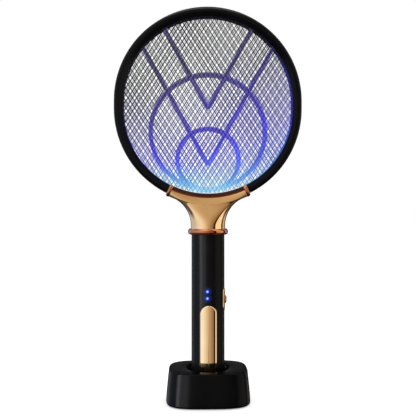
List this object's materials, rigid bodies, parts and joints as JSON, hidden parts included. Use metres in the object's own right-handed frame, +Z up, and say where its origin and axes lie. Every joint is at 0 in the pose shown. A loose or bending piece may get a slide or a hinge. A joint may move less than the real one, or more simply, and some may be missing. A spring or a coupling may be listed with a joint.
{
  "type": "electric fly swatter",
  "caption": "Cordless racket-shaped electric fly swatter with a round three-mesh head and a tube handle, standing upright in its charging dock.",
  "frame": {"origin": "centre of the dock's footprint on the table, under the handle's axis", "axes": "+Z up along the handle to the head; the button and the front of the head face -Y; +X to the right seen from the front"},
  "size_m": [0.2072, 0.075, 0.4352],
  "materials": {
    "black_abs": "satin moulded",
    "dock_abs": "gloss moulded",
    "inner_abs": "matt moulded",
    "rose_gold_plate": "polished metal plating on plastic",
    "champagne_plate": "satin metal plating on plastic",
    "mesh_steel": "plain wire",
    "brace_clear": "translucent",
    "lens_clear": "clear",
    "led_blue": "clear blue",
    "led_white": "moulded",
    "screw_steel": "zinc plated",
    "spring_steel": "drawn wire",
    "contact_brass": "plated",
    "circuit_board": "solder mask",
    "cell_can": "wrapped can",
    "ferrite": "sintered",
    "capacitor_epoxy": "dipped",
    "lead_red": "insulated wire",
    "lead_white": "insulated wire",
    "foot_rubber": "moulded"
  },
  "bodies": {
    "dock": {"dock_housing": "dock_abs", "dock_deck": "dock_abs", "dock_base_plate": "inner_abs", "dock_feet": "foot_rubber", "dock_board": "circuit_board", "usb_socket": "screw_steel", "pogo_barrels": "contact_brass", "pogo_springs": "spring_steel", "dock_screws": "screw_steel"},
    "racket": {"head_frame_front": "black_abs", "head_frame_rear": "black_abs", "grille_front": "mesh_steel", "grille_rear": "mesh_steel", "brace_front": "brace_clear", "brace_rear": "brace_clear", "mesh_spacer_front": "inner_abs", "mesh_spacer_rear": "inner_abs", "hv_grid": "mesh_steel", "lamp_board": "circuit_board", "uv_leds": "led_white", "lamp_lens": "lens_clear", "head_screws": "screw_steel", "saddle_front": "rose_gold_plate", "saddle_rear": "rose_gold_plate", "collar_left": "rose_gold_plate", "collar_right": "rose_gold_plate", "neck_front": "rose_gold_plate", "neck_rear": "rose_gold_plate", "neck_collar": "rose_gold_plate", "handle_front": "black_abs", "handle_rear": "black_abs", "end_cap": "black_abs", "charge_pads": "contact_brass", "button_springs": "spring_steel", "tact_switch": "inner_abs", "switch_bezel": "rose_gold_plate", "slide_switch": "screw_steel", "indicator_lenses": "led_blue", "indicator_leds": "led_white", "main_board": "circuit_board", "battery_cell": "cell_can", "battery_tray": "inner_abs", "transformer": "ferrite", "hv_capacitors": "capacitor_epoxy", "hv_leads": "lead_red", "lamp_leads": "lead_white", "handle_screws": "screw_steel"},
    "zap_button": {"zap_button": "champagne_plate"},
    "switch_knob": {"switch_knob": "rose_gold_plate"},
    "pogo_left": {"pogo_pin_left": "contact_brass"},
    "pogo_right": {"pogo_pin_right": "contact_brass"}
  },
  "joints": [
    {"name": "racket_lift", "type": "slide", "parent": "dock", "child": "racket", "axis": [0, 0, 1], "range_m": [0, 0.06]},
    {"name": "button_press", "type": "slide", "parent": "racket", "child": "zap_button", "axis": [0, 1, 0], "range_m": [0, 0.0012], "stiffness_N_per_m": 500, "springref_m": -0.002, "deforming": ["button_springs"]},
    {"name": "mode_slide", "type": "slide", "parent": "racket", "child": "switch_knob", "axis": [0, 0, 1], "range_m": [-0.0033, 0.0033]},
    {"name": "pogo_left_press", "type": "slide", "parent": "dock", "child": "pogo_left", "axis": [0, 0, 1], "range_m": [-0.001, 0], "stiffness_N_per_m": 200, "springref_m": 0.001, "deforming": ["pogo_springs"]},
    {"name": "pogo_right_press", "type": "slide", "parent": "dock", "child": "pogo_right", "axis": [0, 0, 1], "range_m": [-0.001, 0], "stiffness_N_per_m": 200, "springref_m": 0.001, "deforming": ["pogo_springs"]}
  ]
}
